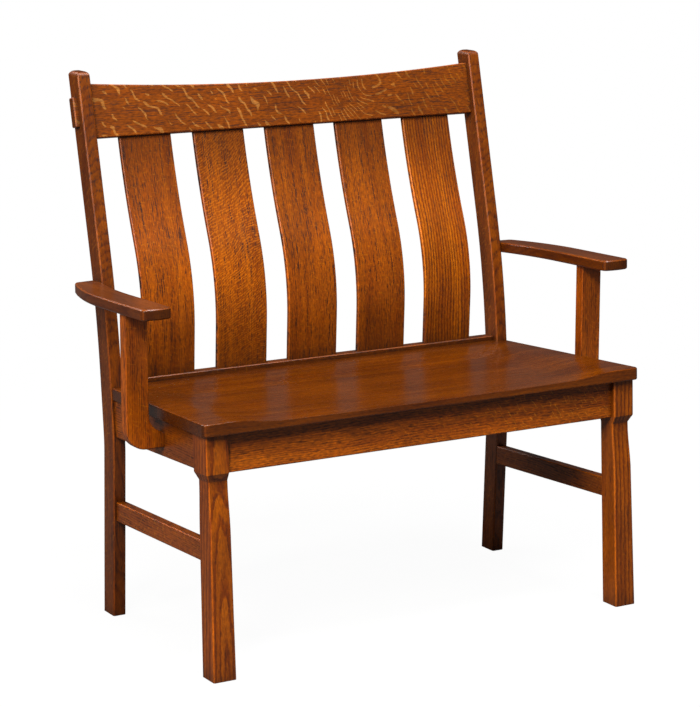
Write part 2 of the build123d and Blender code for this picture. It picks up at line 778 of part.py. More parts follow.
# Arm: a flat board whose tail curves in to pass the post's outer face
arm_inner = arm_spread - arm_width
with BuildPart() as arm_right:
    with BuildSketch(arm_under_plane):
        with BuildLine():
            nose_inner = (arm_inner, arm_nose_bow)
            nose_outer = (arm_spread, arm_nose_bow)
            tail_outer = (post_outer + arm_tail_width, arm_length - arm_nose_bow)
            tail_inner = (post_outer, arm_length)
            ThreePointArc(nose_inner, ((arm_inner + arm_spread) / 2, 0), nose_outer)
            Line(nose_outer, (arm_spread, arm_straight))
            TangentArc((arm_spread, arm_straight), tail_outer, tangent=(0, 1))
            Line(tail_outer, tail_inner)
            Line(tail_inner, (post_outer, arm_meets_post))
            TangentArc((arm_inner, arm_straight), (post_outer, arm_meets_post), tangent=(0, 1))
            Line((arm_inner, arm_straight), nose_inner)
        make_face()
        fillet(vertices().sort_by(Axis.Y)[:2], radius=arm_nose_radius)
        fillet(vertices().sort_by(Axis.Y)[-2:].sort_by(Axis.X)[-1], radius=arm_tail_radius)
    extrude(amount=arm_thickness)
    rim = arm_right.faces().filter_by(lambda face: abs(face.normal_at().dot(arm_down)) > 1 / 2)
    chamfer(rim.edges().filter_by(lambda edge: edge.center().X > post_outer + clearance),
            length=arris_bevel)
    with Locations(Location((arm_post_middle, arm_post_y, arm_under_z))):
        Box(arm_post_width - 2 * arm_tenon_shoulder + 2 * clearance,
            tenon_thickness + 2 * clearance,
            2 * (arm_tenon_length + clearance), mode=Mode.SUBTRACT)
    add(arm_dowel_holes, mode=Mode.SUBTRACT)

# Arm post: a plain upright whose foot flares in below the seat to the side apron
with BuildPart() as arm_post_right:
    with BuildSketch(Plane(origin=(0, front_y + arm_post_front, 0), x_dir=(1, 0, 0),
                           z_dir=(0, -1, 0))):
        with BuildLine():
            cove = JernArc((arm_post_inner, cove_top), (0, -1), cove_radius, -cove_angle)
            run = (cove @ 1).X - apron_inner_x
            cove_foot = (apron_inner_x, (cove @ 1).Y - run / tan(radians(cove_angle)))
            Line(cove @ 1, cove_foot)
            Polyline(cove_foot, (apron_inner_x, arm_post_bottom),
                     (arm_post_outer, arm_post_bottom), (arm_post_outer, arm_height),
                     (arm_post_inner, arm_height), (arm_post_inner, cove_top))
        make_face()
        fillet(vertices().filter_by(lambda point: point.X > arm_post_middle)
               .sort_by(Axis.Y)[0], radius=arm_post_round)
    extrude(amount=-arm_post_depth)
    apron_face = Plane(origin=seat_point(side_line(arm_post_back), arm_post_back, 0),
                       x_dir=seat_back, z_dir=side_outward)
    split(bisect_by=apron_face, keep=Keep.TOP)
    chamfer(arm_post_right.edges().filter_by(lambda edge: abs(edge.tangent_at(1 / 2).Y) < 1 / 2
                                             and edge.center().X > side_line(arm_post_back) + arris
                                             and edge.center().Z < arm_height - overrun),
            length=small_arris)
    split(bisect_by=arm_under_plane, keep=Keep.BOTTOM)
    with Locations(Location((arm_post_middle, arm_post_y, arm_under_z))):
        Box(arm_post_width - 2 * arm_tenon_shoulder, tenon_thickness, 2 * arm_tenon_length)
    add(arm_post_screw_holes, mode=Mode.SUBTRACT)


def corner_block(front):
    """Block glued into a corner of the seat frame, on the right-hand side."""
    with BuildPart() as block:
        with BuildSketch(seat_plan(block_low)):
            with BuildLine():
                Polyline(corner_block_points(front), close=True)
            make_face()
        extrude(amount=block_thickness)
        add(seat_screw_holes, mode=Mode.SUBTRACT)
    return block.part


front_block_part = corner_block(True)
back_block_part = corner_block(False)


def save(part, name):
    """Names a finished piece and writes it."""
    part.label = name
    export_step(part, f"parts/{name}.step")


def save_pair(part, name):
    """Writes the right-hand piece and its mirror image."""
    save(part, f"{name}_right")
    with BuildPart() as other:
        mirror(part, about=Plane.YZ)
    save(other.part, f"{name}_left")


os.makedirs("parts", exist_ok=True)
save_pair(front_leg_right.part, "front_leg")
save_pair(back_post_right.part, "back_post")
save_pair(side_apron_right.part, "side_apron")
save_pair(side_stretcher_right.part, "side_stretcher")
save_pair(arm_right.part, "arm")
save_pair(arm_post_right.part, "arm_post")
save_pair(front_block_part, "front_corner_block")
save_pair(back_block_part, "back_corner_block")
save(crest_rail_cut.part, "crest_rail")
save(lower_back_rail.part, "lower_back_rail")
for number, slat_part in enumerate(slats, start=1):
    save(slat_part, f"slat_{number}")
save(front_apron_part, "front_apron")
save(back_apron_part, "back_apron")
save(seat.part, "seat")
save(screws(seat_screw_places(), seat_screw_length), "seat_screws")
save(screws([arm_post_screw_place()], arm_post_screw_length), "arm_post_screws")
save(arm_dowels(), "arm_dowels")
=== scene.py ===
"""A two-seat oak settle in a plain studio, each board in its own stained and lacquered oak."""

from __future__ import annotations

import logging
import math
from dataclasses import dataclass, replace
from enum import Enum
from typing import Iterable

import bmesh
import bpy
from mathutils import Euler, Matrix, Vector


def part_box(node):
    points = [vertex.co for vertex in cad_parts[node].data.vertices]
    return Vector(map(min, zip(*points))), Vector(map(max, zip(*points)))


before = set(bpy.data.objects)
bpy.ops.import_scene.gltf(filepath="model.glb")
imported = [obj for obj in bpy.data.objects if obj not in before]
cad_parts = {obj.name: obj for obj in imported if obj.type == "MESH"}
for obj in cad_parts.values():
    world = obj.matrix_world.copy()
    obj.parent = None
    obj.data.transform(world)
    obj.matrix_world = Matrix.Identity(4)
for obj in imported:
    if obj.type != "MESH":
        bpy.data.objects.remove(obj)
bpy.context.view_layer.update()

LOG = logging.getLogger("settle")
MM = 0.001
WHITE = "#FFFFFF"

# A noise seldom leaves this range, so a pattern's own range is laid over it.
NOISE_LOW = 0.3
NOISE_MIDDLE = 0.5
NOISE_HIGH = 0.7

# Sockets of a Mix node that mixes colours.
MIX_FIRST = 6
MIX_SECOND = 7
MIX_RESULT = 2

# How far apart in the log one step of the seed lays two boards, in metres, and two boards' rays.
SEED_STEP = (0.37, 0.91, 1.0)
RAY_STEP = (1.0, 0.0, 0.6)

# Depth in mm over which a ray ribbon changes, so long that it runs straight through any board.
RAY_DEPTH = 900.0

# How far the level at which ribbons start falls, from a bare face to one full of them.
LEVEL_SWING = 0.3

# Cosine of a face's normal to a direction of the board: turned away from it, and looking along it.
TURNED_AWAY = 0.6
LOOKING_ALONG = 0.85

# The greatest of a face's three cosines: on an arris, and on the flat beside it.
ON_ARRIS = 0.76
ON_FLAT = 0.87

# Share of the open air round a point: deep in an inner corner, and clear of it.
IN_CORNER = 0.3
IN_THE_OPEN = 0.95

Socket = bpy.types.NodeSocket
Tree = bpy.types.NodeTree
Triple = tuple[float, float, float]


def linear(hex_colour: str) -> tuple[float, float, float, float]:
    """Turn an sRGB hex colour into the linear colour that a shader takes.

    Args:
        hex_colour: The colour as "#RRGGBB".

    Returns:
        Red, green, blue and an alpha of one.
    """
    channels = [int(hex_colour[i : i + 2], 16) / 255 for i in (1, 3, 5)]
    red, green, blue = (
        c / 12.92 if c <= 0.04045 else ((c + 0.055) / 1.055) ** 2.4 for c in channels
    )
    return (red, green, blue, 1.0)


def add_node(
    tree: Tree,
    kind: str,
    inputs: dict[str | int, object] | None = None,
    output: str | int = 0,
    **settings: object,
) -> Socket | None:
    """Add one shader node with its settings, values and links.

    Args:
        tree: The node tree that takes the node.
        kind: The node's type name without its "ShaderNode" prefix.
        inputs: What goes into its sockets: a number, a colour, or the socket that feeds it.
        output: Which of its outputs is wanted.
        settings: Attributes of the node itself.

    Returns:
        The wanted output socket, or None for a node that has no outputs.
    """
    node = tree.nodes.new(f"ShaderNode{kind}")
    for name, value in settings.items():
        setattr(node, name, value)
    for name, value in (inputs or {}).items():
        if isinstance(value, Socket):
            tree.links.new(value, node.inputs[name])
        else:
            node.inputs[name].default_value = value
    return node.outputs[output] if len(node.outputs) else None


def per_blotch(across: float, through: float, along: float) -> Triple:
    """Scale of a noise whose blotches have these sizes in a board, in mm."""
    return (1 / (across * MM), 1 / (through * MM), 1 / (along * MM))


class Lie(Enum):
    """How a board lies in the bench, as the directions across its face and along its grain."""

    RAIL = ((0, 0, 1), (1, 0, 0))
    SHELF = ((0, 1, 0), (1, 0, 0))
    UPRIGHT = ((1, 0, 0), (0, 0, 1))
    CHEEK = ((0, 1, 0), (0, 0, 1))
    SIDE_RAIL = ((0, 0, 1), (0, 1, 0))
    ARM = ((1, 0, 0), (0, 1, 0))


@dataclass(frozen=True)
class Cut:
    """How a board was sawn from its log, which decides the lines on its face.

    Attributes:
        pith_across: Distance of the log's heart from the board's middle, across its face, in mm.
        pith_through: The same through its thickness, in mm.
        ring_spacing: Width of one year's growth, in mm. Real ones are 1.5 to 3 mm, too fine to
            show in places, so some boards have them drawn coarser.
        ring_strength: How dark the porous early wood takes the stain, where 1 is the full colour.
        taper: How fast the heart leaves the board along it, which closes the rings into arches.
        wander: How far slow waves spread the rings from true, in ring spacings.
        waver: How far quick ones do.
        slow: Size of the slow waves across, through and along the board, in mm.
        quick: Size of the quick ones.
        early: Share of a year's growth over which its early wood ends.
        onset: Share over which the next year's begins.
    """

    pith_across: float = 190.0
    pith_through: float = 12.0
    ring_spacing: float = 4.2
    ring_strength: float = 0.35
    taper: float = 0.0
    wander: float = 3.0
    waver: float = 0.4
    slow: Triple = (70.0, 70.0, 260.0)
    quick: Triple = (12.0, 12.0, 60.0)
    early: float = 0.5
    onset: float = 0.1


@dataclass(frozen=True)
class Pores:
    """Open vessels, which the stain fills to dark dashes along the grain.

    Real ones are 0.3 mm wide, too fine to show, so they are drawn about 2 mm wide.

    Attributes:
        strength: How dark they are, from 0 to 1.
        dash: Size of one across, through and along the board, in mm.
        ragged: How uneven its outline is, from 0 to 1.
        streak: Size of the streaks that dashes crowd in, in mm.
        streaky: How much a streak adds to their chance.
        early: How much the early wood adds to it.
        shallow: Sum of the noises at which a pore begins.
        deep: Sum at which it is deepest.
    """

    strength: float = 0.75
    dash: Triple = (1.8, 1.8, 17.0)
    ragged: float = 0.65
    streak: Triple = (3.8, 3.8, 80.0)
    streaky: float = 0.7
    early: float = 0.12
    shallow: float = 0.88
    deep: float = 1.14


@dataclass(frozen=True)
class Fleck:
    """Ray fleck: pale ribbons of ray cells that a quarter-sawn face cuts through.

    Attributes:
        spacing: Distance between ribbons, in mm.
        slant: Angle of the ribbons to the grain, in degrees.
        drift: How far slow waves in the grain push the ribbons about, in mm.
        reach: Size of those waves across the grain, in mm.
        stretch: How many times longer they are along it.
        kink: How far a ribbon bends on its way, as a share of its length.
        width: Widest that a ribbon gets, in mm.
        length: How long a ribbon runs before it tapers out, in mm.
        point: How far a ribbon is closed where it starts, in spacings, so that it ends pointed.
        opening: Rise of the noise from there to its widest.
        edge: Share of its half width over which its edge fades.
        plenty: Share of the face where ribbons show at all.
        strength: How much paler the ribbons are, from 0 to 1.
        crowding: How much closer the ribbons stand towards one end, per metre.
        fade: How much fainter they are at the far end, from 0 to 1.
        fade_from: Where along the board they start to fade, from its middle, in mm.
        fade_to: Where they are at their faintest, in mm.
        whirl: Turns of the ribbons round a pin knot.
        whirl_place: Where that knot lies, across and along the board, in mm.
        whirl_reach: How far the knot disturbs the grain, in mm.
    """

    spacing: float = 8.0
    slant: float = 60.0
    drift: float = 10.0
    reach: float = 60.0
    stretch: float = 1.4
    kink: float = 0.5
    width: float = 1.6
    length: float = 16.0
    point: float = 0.04
    opening: float = 0.14
    edge: float = 0.35
    plenty: float = 0.5
    strength: float = 0.45
    crowding: float = 0.0
    fade: float = 0.0
    fade_from: float = 60.0
    fade_to: float = 380.0
    whirl: float = 0.0
    whirl_place: tuple[float, float] = (0.0, 0.0)
    whirl_reach: float = 60.0

    def start(self) -> float:
        """Level of the noise at which a ribbon starts, lower where they are plentiful."""
        return NOISE_MIDDLE + LEVEL_SWING * (0.5 - self.plenty)


@dataclass(frozen=True)
class StainedOak:
    """White oak, sanded, wiped with a red-brown stain and sprayed with satin lacquer.

    The stain sinks into the open pores and leaves the dense rays pale, so the eye reads dark
    hairlines along the grain and light flecks across it, under an even, slightly soft gloss.

    Attributes:
        name: The piece that the board makes.
        lie: How the board lies.
        cut: How it was sawn.
        fleck: Its ray fleck.
        pores: Its pores.
        tone: How light the stain came out against the other boards, where 1 is the usual.
        seed: Where in the log the board lies, so that no two boards match.
        rake: Lean of the board to the back, in degrees.
        bent: Whether the board was bent to shape, so that its grain follows its face.
        bands: How strongly broad streaks along the grain show, from 0 to 1.
        band_level: Share of the darker colour halfway between a streak and its neighbour.
        band_size: Size of the streaks across, through and along the board, in mm.
        clouds: How much lighter or darker the stain came out in broad clouds, from 0 to 1.
        cloud_size: Size of the clouds, in mm.
        speckle: How strongly the wood's short fibres mottle it, from 0 to 1.
        speck_size: Size of that mottling, in mm.
        painted_end_shade: Painted shade: how much darker the board is painted towards its ends,
            from 0 to 1.
        end_shade_reach: Distance from the board's middle at which that is reached, in mm.
        end_shade_start: Share of that distance at which it begins.
        corner_stain_and_shade: How much darker the inner corners are, from 0 to 1: stain left in
            the joints, and painted shade in and near them.
        corner_reach: How far out of a corner that shows, in mm.
        end_grain: How much darker the thirsty end grain is, from 0 to 1.
        arris_wear_and_highlight: How much paler the arrises are: stain rubbed thin, and a painted
            highlight.
        saturation: How full the colours came out under the lacquer.
        gloss: Roughness of the lacquer.
        pore_gloss: How much rougher it is over a pore.
        sunk: How far it sinks over a pore, in mm.
        arris: Radius to which it eases the arrises, in mm.
        ior: Index of refraction of the lacquer.
        ground: Colour of the stained wood.
        summer: Colour of its dense late wood.
        pocket: Colour of the stain in the pores.
        ray: Colour of the rays.
    """

    name: str
    lie: Lie
    cut: Cut = Cut()
    fleck: Fleck = Fleck()
    pores: Pores = Pores()
    tone: float = 1.0
    seed: float = 0.0
    rake: float = 0.0
    bent: bool = False
    bands: float = 0.7
    band_level: float = 0.4
    band_size: Triple = (16.0, 16.0, 320.0)
    clouds: float = 0.18
    cloud_size: Triple = (60.0, 60.0, 140.0)
    speckle: float = 0.26
    speck_size: Triple = (2.6, 2.6, 9.0)
    painted_end_shade: float = 0.0
    end_shade_reach: float = 250.0
    end_shade_start: float = 0.1
    corner_stain_and_shade: float = 0.6
    corner_reach: float = 40.0
    end_grain: float = 0.4
    arris_wear_and_highlight: float = 0.7
    saturation: float = 1.08
    gloss: float = 0.36
    pore_gloss: float = 0.12
    sunk: float = 0.04
    arris: float = 1.6
    ior: float = 1.5
    ground: str = "#80380A"
    summer: str = "#AE5B1C"
    pocket: str = "#381302"
    ray: str = "#D48E50"

    def material(self, centre: Vector) -> bpy.types.Material:
        """Make the board's material.

        Args:
            centre: Middle of the board, which the pattern is laid out from.

        Returns:
            The finished material.
        """
        mat = bpy.data.materials.new(f"stained_oak_{self.name}")
        mat.use_nodes = True
        tree = mat.node_tree
        tree.nodes.clear()
        board = self._board(tree, centre)
        offset = tuple(self.seed * step for step in SEED_STEP)
        log = add_node(tree, "VectorMath", {0: board, 1: offset}, operation="ADD")
        rings = self._rings(tree, board, log)
        pores = self._pores(tree, log, rings)
        flecks = self._flecks(tree, board, log)
        mixed = self._mixed(tree, log, rings, pores, flecks)
        lightness = self._wear_and_painted_light(tree, self._toned(tree, board, log))
        colour = add_node(
            tree,
            "HueSaturation",
            {"Value": lightness, "Color": mixed, "Saturation": self.saturation},
        )
        self._lacquer(tree, colour, pores)
        return mat

    def _axes(self) -> Matrix:
        """Work out the board's own directions.

        Returns:
            A matrix whose rows point across, through and along the board.
        """
        leaned = Matrix.Rotation(math.radians(-self.rake), 3, "X")
        across, along = (leaned @ Vector(direction) for direction in self.lie.value)
        return Matrix((across, along.cross(across), along))

    def _board(self, tree: Tree, centre: Vector) -> Socket:
        """Place in the board, across, through and along it, in metres from its middle.

        Args:
            tree: The material's tree.
            centre: Middle of the board.

        Returns:
            The coordinates' socket. A bent board has the same place all through its thickness.
        """
        axes = self._axes()
        flat = Vector((1, 0, 1)) if self.bent else Vector((1, 1, 1))
        return add_node(
            tree,
            "Mapping",
            {
                "Vector": add_node(tree, "TexCoord", output="Object"),
                "Location": -(axes @ (centre * flat)),
                "Rotation": axes.to_euler(),
                "Scale": flat,
            },
        )

    def _rings(self, tree: Tree, board: Socket, log: Socket) -> Socket:
        """Growth rings round the log's heart.

        Args:
            tree: The material's tree.
            board: Place in the board.
            log: The same place in the log.

        Returns:
            How deep in the porous early wood a point lies, from 0 to 1.
        """
        cut = self.cut
        spacing = cut.ring_spacing * MM
        heart = (cut.pith_across * MM, cut.pith_through * MM, 0.0)
        placed = add_node(tree, "VectorMath", {0: board, 1: heart}, operation="ADD")
        across, through, along = add_node(tree, "SeparateXYZ", {0: placed}).node.outputs
        deep = add_node(
            tree, "Math", {0: along, 1: cut.taper, 2: through}, operation="MULTIPLY_ADD"
        )
        flat = add_node(tree, "CombineXYZ", {0: across, 1: deep})
        radius = add_node(tree, "VectorMath", {0: flat}, "Value", operation="LENGTH")
        # A noise swings by about a half in all, so twice the push spreads the rings by it.
        for size, detail, push in ((cut.slow, 1.0, cut.wander), (cut.quick, 2.0, cut.waver)):
            scaled = add_node(
                tree, "VectorMath", {0: log, 1: per_blotch(*size)}, operation="MULTIPLY"
            )
            waves = add_node(tree, "TexNoise", {"Vector": scaled, "Scale": 1.0, "Detail": detail})
            radius = add_node(
                tree, "Math", {0: waves, 1: 2 * push * spacing, 2: radius}, operation="MULTIPLY_ADD"
            )
        year = add_node(tree, "Math", {0: radius, 1: 1 / spacing}, operation="MULTIPLY")
        part = add_node(tree, "Math", {0: year}, operation="FRACT")
        ending = add_node(
            tree,
            "MapRange",
            {"Value": part, "From Max": cut.early, "To Min": 1.0, "To Max": 0.0},
            interpolation_type="SMOOTHSTEP",
        )
        beginning = add_node(
            tree,
            "MapRange",
            {"Value": part, "From Min": 1 - cut.onset},
            interpolation_type="SMOOTHSTEP",
        )
        return add_node(tree, "Math", {0: ending, 1: beginning}, operation="MAXIMUM")

    def _pores(self, tree: Tree, log: Socket, rings: Socket) -> Socket:
        """Open pores, as dark dashes along the grain.

        Args:
            tree: The material's tree.
            log: Place in the log.
            rings: Early wood, where most of the pores are.

        Returns:
            How deep in a pore a point lies, from 0 to 1.
        """
        pores = self.pores
        fine = add_node(
            tree, "VectorMath", {0: log, 1: per_blotch(*pores.dash)}, operation="MULTIPLY"
        )
        long = add_node(
            tree, "VectorMath", {0: log, 1: per_blotch(*pores.streak)}, operation="MULTIPLY"
        )
        dashes = add_node(
            tree,
            "TexNoise",
            {"Vector": fine, "Scale": 1.0, "Detail": 2.0, "Roughness": pores.ragged},
        )
        streaks = add_node(tree, "TexNoise", {"Vector": long, "Scale": 1.0, "Detail": 2.0})
        both = add_node(
            tree, "Math", {0: streaks, 1: pores.streaky, 2: dashes}, operation="MULTIPLY_ADD"
        )
        both = add_node(
            tree, "Math", {0: rings, 1: pores.early, 2: both}, operation="MULTIPLY_ADD"
        )
        return add_node(
            tree,
            "MapRange",
            {"Value": both, "From Min": pores.shallow, "From Max": pores.deep},
            interpolation_type="SMOOTHSTEP",
        )

    def _flecks(self, tree: Tree, board: Socket, log: Socket) -> Socket:
        """Pale ray ribbons, only on faces that lie along the rays.

        Args:
            tree: The material's tree.
            board: Place in the board.
            log: The same place in the log.

        Returns:
            Strength of the fleck, from 0 to 1.
        """
        fleck = self.fleck
        turned = add_node(
            tree,
            "VectorRotate",
            {"Vector": board, "Angle": math.radians(fleck.slant - 90)},
            rotation_type="Y_AXIS",
        )
        offset = tuple(self.seed * step for step in RAY_STEP)
        run = add_node(tree, "VectorMath", {0: turned, 1: offset}, operation="ADD")
        count = self._counted(tree, log, turned, run)
        if fleck.crowding:
            count = self._crowded(tree, board, count)
        if fleck.whirl:
            count = self._whirled(tree, board, count)
        # How far the nearest ribbon's middle lies off, in spacings.
        beside = add_node(tree, "Math", {0: count, 1: 0.5}, operation="PINGPONG")
        # One blotch of this noise opens one ribbon.
        patch_size = per_blotch(fleck.length, RAY_DEPTH, 0.8 * fleck.spacing)
        patches = add_node(tree, "VectorMath", {0: run, 1: patch_size}, operation="MULTIPLY")
        patch = add_node(tree, "TexNoise", {"Vector": patches, "Scale": 1.0, "Detail": 0.0})
        half = fleck.width / fleck.spacing / 2
        thick = add_node(
            tree,
            "MapRange",
            {
                "Value": patch,
                "From Min": fleck.start(),
                "From Max": fleck.start() + fleck.opening,
                "To Min": -fleck.point,
                "To Max": half,
            },
        )
        depth = add_node(tree, "Math", {0: thick, 1: beside}, operation="SUBTRACT")
        ribbon = add_node(tree, "MapRange", {"Value": depth, "From Max": fleck.edge * half})
        broadside = self._broadside(tree, self._axes()[1])
        shown = add_node(tree, "Math", {0: ribbon, 1: broadside}, operation="MULTIPLY")
        fading = add_node(
            tree,
            "MapRange",
            {
                "Value": add_node(tree, "SeparateXYZ", {0: board}, "Z"),
                "From Min": fleck.fade_from * MM,
                "From Max": fleck.fade_to * MM,
                "To Min": 1.0,
                "To Max": 1 - fleck.fade,
            },
        )
        return add_node(tree, "Math", {0: shown, 1: fading}, operation="MULTIPLY")

    def _counted(self, tree: Tree, log: Socket, turned: Socket, run: Socket) -> Socket:
        """Count the ribbons passed from the board's middle, with the bends in them.

        Args:
            tree: The material's tree.
            log: Place in the log.
            turned: Place in the board, turned so that the ribbons lie across.
            run: The same place, set off for this board.

        Returns:
            The number of ribbons passed.
        """
        fleck = self.fleck
        wave_size = per_blotch(fleck.reach, RAY_DEPTH, fleck.stretch * fleck.reach)
        # Bends are shorter than a ribbon and reach past its neighbour, so that both bend alike.
        bend_size = per_blotch(0.7 * fleck.length, RAY_DEPTH, 1.5 * fleck.spacing)
        passed = add_node(tree, "SeparateXYZ", {0: turned}, "Z")
        # A noise swings by about a quarter either way, so four times the drift moves them by it.
        for place, size, detail, push in (
            (log, wave_size, 1.0, 4 * fleck.drift),
            (run, bend_size, 0.0, fleck.kink * fleck.length),
        ):
            scaled = add_node(tree, "VectorMath", {0: place, 1: size}, operation="MULTIPLY")
            noise = add_node(tree, "TexNoise", {"Vector": scaled, "Scale": 1.0, "Detail": detail})
            passed = add_node(
                tree, "Math", {0: noise, 1: push * MM, 2: passed}, operation="MULTIPLY_ADD"
            )
        return add_node(
            tree, "Math", {0: passed, 1: 1 / (fleck.spacing * MM)}, operation="MULTIPLY"
        )

    def _crowded(self, tree: Tree, board: Socket, count: Socket) -> Socket:
        """Bring the ribbons closer together towards one end of the board.

        Args:
            tree: The material's tree.
            board: Place in the board.
            count: Number of ribbons passed so far.

        Returns:
            The same, growing faster towards that end.
        """
        along = add_node(tree, "SeparateXYZ", {0: board}, "Z")
        square = add_node(tree, "Math", {0: along, 1: along}, operation="MULTIPLY")
        return add_node(
            tree,
            "Math",
            {0: square, 1: self.fleck.crowding / (self.fleck.spacing * MM), 2: count},
            operation="MULTIPLY_ADD",
        )

    def _whirled(self, tree: Tree, board: Socket, count: Socket) -> Socket:
        """Lead the ribbons round a pin knot.

        Args:
            tree: The material's tree.
            board: Place in the board.
            count: Number of ribbons passed so far.

        Returns:
            The same, raised to a bell-shaped hill at the knot.
        """
        across, along = self.fleck.whirl_place
        reach = 1 / (self.fleck.whirl_reach * MM)
        near = add_node(
            tree,
            "VectorMath",
            {0: board, 1: (reach, 0.0, reach), 2: (-across * MM * reach, 0.0, -along * MM * reach)},
            operation="MULTIPLY_ADD",
        )
        square = add_node(tree, "VectorMath", {0: near, 1: near}, "Value", operation="DOT_PRODUCT")
        hill = add_node(tree, "Math", {0: math.exp(-1), 1: square}, operation="POWER")
        return add_node(
            tree, "Math", {0: hill, 1: self.fleck.whirl, 2: count}, operation="MULTIPLY_ADD"
        )

    def _facing(self, tree: Tree, direction: Vector) -> Socket:
        """How squarely a face looks along a direction.

        Args:
            tree: The material's tree.
            direction: The direction, which counts either way.

        Returns:
            1 for a face square to it, falling to 0.
        """
        normal = add_node(tree, "TexCoord", output="Normal")
        facing = add_node(
            tree, "VectorMath", {0: normal, 1: direction}, "Value", operation="DOT_PRODUCT"
        )
        return add_node(tree, "Math", {0: facing}, operation="ABSOLUTE")

    def _broadside(self, tree: Tree, direction: Vector) -> Socket:
        """Pick the faces that look along a direction.

        Args:
            tree: The material's tree.
            direction: The direction.

        Returns:
            1 on those faces and 0 on the others, with the arrises between.
        """
        facing = self._facing(tree, direction)
        return add_node(
            tree,
            "MapRange",
            {"Value": facing, "From Min": TURNED_AWAY, "From Max": LOOKING_ALONG},
        )

    def _arrises(self, tree: Tree) -> Socket:
        """Pick the bevels and roundings between the board's faces.

        Args:
            tree: The material's tree.

        Returns:
            1 on them and 0 on the faces.
        """
        across, through, along = (self._facing(tree, axis) for axis in self._axes())
        broad = add_node(tree, "Math", {0: across, 1: through}, operation="MAXIMUM")
        square = add_node(tree, "Math", {0: broad, 1: along}, operation="MAXIMUM")
        return add_node(
            tree,
            "MapRange",
            {
                "Value": square,
                "From Min": ON_ARRIS,
                "From Max": ON_FLAT,
                "To Min": 1.0,
                "To Max": 0.0,
            },
        )

    def _toned(self, tree: Tree, board: Socket, log: Socket) -> Socket:
        """How light the stain came out from place to place, with painted shade darkening the board
        towards its ends.

        Args:
            tree: The material's tree.
            board: Place in the board.
            log: The same place in the log.

        Returns:
            The factor on the wood's colour.
        """
        factors = []
        for size, detail, swing, middle in (
            (self.cloud_size, 3.0, self.clouds, self.tone),
            (self.speck_size, 2.0, self.speckle, 1.0),
        ):
            scaled = add_node(
                tree, "VectorMath", {0: log, 1: per_blotch(*size)}, operation="MULTIPLY"
            )
            noise = add_node(tree, "TexNoise", {"Vector": scaled, "Scale": 1.0, "Detail": detail})
            mottled = {
                "Value": noise,
                "From Min": NOISE_LOW,
                "From Max": NOISE_HIGH,
                "To Min": (1 - swing) * middle,
                "To Max": (1 + swing) * middle,
            }
            factors.append(add_node(tree, "MapRange", mottled))
        # Painted shade: the board is darkened towards its ends.
        along = add_node(tree, "SeparateXYZ", {0: board}, "Z")
        end_shade = add_node(
            tree,
            "MapRange",
            {
                "Value": add_node(tree, "Math", {0: along}, operation="ABSOLUTE"),
                "From Min": self.end_shade_start * self.end_shade_reach * MM,
                "From Max": self.end_shade_reach * MM,
                "To Min": 1.0,
                "To Max": 1 - self.painted_end_shade,
            },
            interpolation_type="SMOOTHSTEP",
        )
        shade, mottle = factors
        for factor in (mottle, end_shade):
            shade = add_node(tree, "Math", {0: shade, 1: factor}, operation="MULTIPLY")
        return shade

    def _wear_and_painted_light(self, tree: Tree, toned: Socket) -> Socket:
        """Darken inner corners with stain and painted shade, darken the end grain, and lighten the
        arrises with rubbed stain and a painted highlight.

        Args:
            tree: The material's tree.
            toned: How light the stain came out.

        Returns:
            The same with these places in it.
        """
        # Painted shade, along with stain in the joints: ambient occlusion darkens corners and
        # whatever lies close beside or under other parts.
        open_air = add_node(
            tree, "AmbientOcclusion", {"Distance": self.corner_reach * MM}, "AO", samples=8
        )
        stain_and_shade = add_node(
            tree,
            "MapRange",
            {
                "Value": open_air,
                "From Min": IN_CORNER,
                "From Max": IN_THE_OPEN,
                "To Min": 1 - self.corner_stain_and_shade,
            },
        )
        end = self._broadside(tree, self._axes()[2])
        soaked = add_node(
            tree, "MapRange", {"Value": end, "To Min": 1.0, "To Max": 1 - self.end_grain}
        )
        # Painted highlight, along with stain rubbed thin: the arrises are made paler.
        arris_wear_and_highlight = add_node(
            tree,
            "MapRange",
            {"Value": self._arrises(tree), "To Min": 1.0, "To Max": 1 + self.arris_wear_and_highlight},
        )
        for factor in (stain_and_shade, soaked, arris_wear_and_highlight):
            toned = add_node(tree, "Math", {0: toned, 1: factor}, operation="MULTIPLY")
        return toned

    def _mixed(
        self, tree: Tree, log: Socket, rings: Socket, pores: Socket, flecks: Socket
    ) -> Socket:
        """Mix the stained colours of rings, pores and rays.

        Args:
            tree: The material's tree.
            log: Place in the log.
            rings: Early wood, from 0 to 1.
            pores: Pores, from 0 to 1.
            flecks: Ray fleck, from 0 to 1.

        Returns:
            The colour's socket.
        """
        wide = add_node(
            tree, "VectorMath", {0: log, 1: per_blotch(*self.band_size)}, operation="MULTIPLY"
        )
        banded = add_node(
            tree,
            "MapRange",
            {
                "Value": add_node(tree, "TexNoise", {"Vector": wide, "Scale": 1.0, "Detail": 2.0}),
                "From Min": NOISE_LOW,
                "From Max": NOISE_HIGH,
                "To Min": self.band_level - self.bands / 2,
                "To Max": self.band_level + self.bands / 2,
            },
        )
        share = add_node(
            tree,
            "Math",
            {0: rings, 1: self.cut.ring_strength, 2: banded},
            operation="MULTIPLY_ADD",
            use_clamp=True,
        )
        dark = add_node(tree, "Math", {0: pores, 1: self.pores.strength}, operation="MULTIPLY")
        pale = add_node(tree, "Math", {0: flecks, 1: self.fleck.strength}, operation="MULTIPLY")
        colour = linear(self.summer)
        for amount, stain in ((share, self.ground), (dark, self.pocket), (pale, self.ray)):
            colour = add_node(
                tree,
                "Mix",
                {0: amount, MIX_FIRST: colour, MIX_SECOND: linear(stain)},
                MIX_RESULT,
                data_type="RGBA",
            )
        return colour

